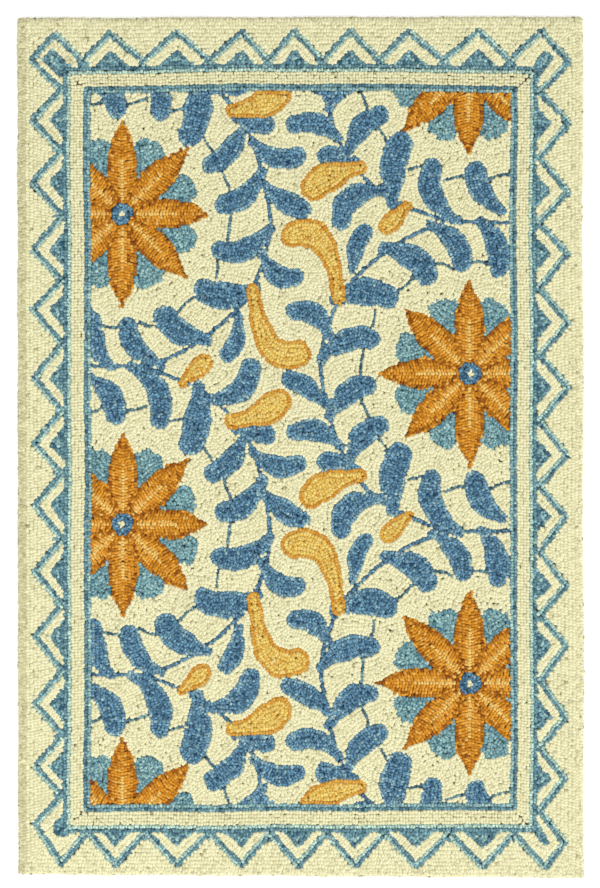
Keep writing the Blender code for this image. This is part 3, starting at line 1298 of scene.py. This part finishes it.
loopDye = np.clip(dyeOf(), 0, 1)
fieldGround = isPart("fieldGround")
pileParts = {  # which loops each piece holds, its wool and its slot in the record
    "creamEdgeLoops": (isPart("edgeGround"), "creamWool", "cream_yarn"),
    "creamBandLoops": (isPart("chevron", "stripe"), "creamWool", "cream_yarn"),
    "creamOutlineLoops": (fieldGround & (loopRow < 2) | isPart("dot"), "creamWool", "cream_yarn"),
    "creamFieldLoops": (fieldGround & (loopRow >= 2), "creamWool", "cream_yarn"),
    "leafBlueLoops": (isPart("leaf", "vine", "disc"), "leafBlueWool", "leaf_blue_yarn"),
    "lineBlueLoops": (
        isPart("zigzag", "outerLine", "innerLine", "triangle", "tendril"),
        "lineBlueWool", "leaf_blue_yarn"),
    "lobeBlueLoops": (isPart("lobe"), "lightBlueWool", "light_blue_yarn"),
    "petalLoops": (isPart("petal"), "orangeWool", "orange_yarn"),
    "podLoops": (isPart("pod"), "yellowWool", "yellow_yarn"),
}

wools = {name: hookedWool(name) for name in yarnDyes}
loopPlaces = np.stack((loopX, loopY, np.full(len(loops), rug["thickness"]), loopHeading), 1)
for name, (chosen, wool, slot) in pileParts.items():
    form = ribLoop if name == "petalLoops" else loopShape
    yarnLoops(
        name, loopPlaces[chosen], 0.0, loopRoom[chosen], loopDye[chosen], wools[wool], form)

rimX, rimY, rimHeading, rimLean = np.array(rimLoops).T
rimLean = np.radians(rimLean)
rimHeight = rug["thickness"] - rug["pileRoll"] * (1 - np.cos(rimLean))
rimPlaces = np.stack((rimX, rimY, rimHeight, rimHeading), 1)
# the rim loops take the same painted edge shade
rimDye = 0.5 + random.normal(0, dyeSpread["rim"], len(rimLoops)) - edgeShading(rimX, rimY)
yarnLoops(
    "creamRimLoops", rimPlaces, rimLean, np.ones(len(rimLoops)), np.clip(rimDye, 0, 1),
    wools["creamWool"])

# Foundation cloth

foundation = {  # millimetres
    "threadPitch": 1.9,  # coarse cloth for hooking, a dozen or so threads to the inch
    "weaveRelief": 0.4,
    "slubs": 90.0,  # thick places in the thread, to the metre
    "underPile": 0.15,  # the cloth's top lies this much below the loops' feet
    "hemWidth": 24.0,
    "hemStep": 0.7,  # the turned-under hem stands this much below the cloth
    "fold": 1.1,
    "gridPitch": 12.0,
}


def plainWovenCotton():
    # Unbleached cotton in an even plain weave: matt and slightly yellow, with painted shade
    # in the fine gaps between the threads
    material = newMaterial("plainWovenCotton")
    place = addNode(material, "TexCoord").outputs["Object"]
    pitch = foundation["threadPitch"] * mm
    # a wave texture's bands come every 0.314 at scale 1
    threads = {"Vector": place, "Scale": 0.314 / pitch, "Distortion": 0.4}
    warp = addNode(material, "TexWave", threads, bands_direction="X")
    weft = addNode(material, "TexWave", threads, bands_direction="Y")
    over = addNode(material, "TexChecker", {
        "Vector": place, "Scale": 1 / pitch, "Color1": (1, 1, 1, 1), "Color2": (0, 0, 0, 1)})
    weave = addNode(material, "Mix", {
        0: over.outputs["Fac"], 2: warp.outputs["Fac"], 3: weft.outputs["Fac"]}, data_type="FLOAT")
    slub = addNode(material, "TexNoise", {
        "Vector": place, "Scale": foundation["slubs"], "Detail": 5.0})
    # painted shade: darker between the threads, paler on their crowns
    threadAndGapShade = addNode(material, "Mix", {
        0: weave.outputs[0], 6: linear("#8f8262"), 7: linear("#d9cda8")}, data_type="RGBA")
    mottledAndShaded = addNode(material, "Mix", {
        0: 0.35, 6: threadAndGapShade.outputs[2], 7: slub.outputs["Fac"]},
        data_type="RGBA", blend_type="MULTIPLY")
    bump = addNode(material, "Bump", {
        "Height": weave.outputs[0], "Distance": foundation["weaveRelief"] * mm})
    roughness = addNode(material, "MapRange", {
        "Value": slub.outputs["Fac"], "To Min": 0.85, "To Max": 0.98})
    shader = addNode(material, "BsdfPrincipled", {
        "Base Color": mottledAndShaded.outputs[2], "Roughness": roughness.outputs[0],
        "Normal": bump.outputs[0], "Specular IOR Level": 0.25, "IOR": 1.53})
    addNode(material, "OutputMaterial", {"Surface": shader.outputs[0]})
    return material


def clothLines(half):
    # grid lines, close together at the folded edge and at the hem's inner edge
    hem = foundation["hemWidth"]
    fromEdge = [0, 0.35, 1.1, 3.2, 8, 15, hem - 1, hem, hem + 1]
    inner = np.linspace(-half + hem + 6, half - hem - 6, round(2 * half / foundation["gridPitch"]))
    near, opposite = [-half + d for d in fromEdge], [half - d for d in reversed(fromEdge)]
    return np.concatenate((near, inner, opposite))


def foundationCloth():
    x, y = np.meshgrid(clothLines(halfWidth), clothLines(halfLength))
    # the square corner is drawn in to the round one
    radius = rug["cornerRadius"]
    dx, dy = np.abs(x) - halfWidth + radius, np.abs(y) - halfLength + radius
    inCorner = (dx > 0) & (dy > 0)
    pull = np.where(inCorner, np.maximum(dx, dy) / np.maximum(np.hypot(dx, dy), 1e-6), 1.0)
    x = np.where(inCorner, np.sign(x) * (halfWidth - radius + dx * pull), x)
    y = np.where(inCorner, np.sign(y) * (halfLength - radius + dy * pull), y)
    inset = insetFromEdge(x, y)
    fold = foundation["fold"]
    curl = fold - np.sqrt(np.clip(fold ** 2 - np.clip(fold - inset, 0, fold) ** 2, 0, None))
    top = rug["clothThickness"] - foundation["underPile"] - curl
    bottom = curl + foundation["hemStep"] * easing((inset - foundation["hemWidth"] + 1) / 2)
    x, y = uneven(x, y)
    upper, lower = (
        np.stack((x - middle[0], y - middle[1], height), 2).reshape(-1, 3)
        for height in (top, bottom))
    number = np.arange(x.size).reshape(x.shape)
    square = (number[:-1, :-1], number[:-1, 1:], number[1:, 1:], number[1:, :-1])
    quads = np.stack(square, 2).reshape(-1, 4)
    under = quads[:, ::-1] + x.size
    edge = np.concatenate((number[0], number[1:, -1], number[-1, -2::-1], number[-2:0:-1, 0]))
    ahead = np.roll(edge, -1)
    wall = np.stack((edge + x.size, ahead + x.size, ahead, edge), 1)
    points, faces = np.vstack((upper, lower)) * mm, np.vstack((quads, under, wall))
    mesh = bpy.data.meshes.new("cottonFoundation")
    mesh.from_pydata(points.tolist(), [], faces.tolist())
    mesh.shade_smooth()
    mesh.materials.append(plainWovenCotton())
    return addObject("cottonFoundation", mesh)


cloth = foundationCloth()
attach(cloth, "root")
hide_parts("hooked_rug")
print("foundation cloth made")
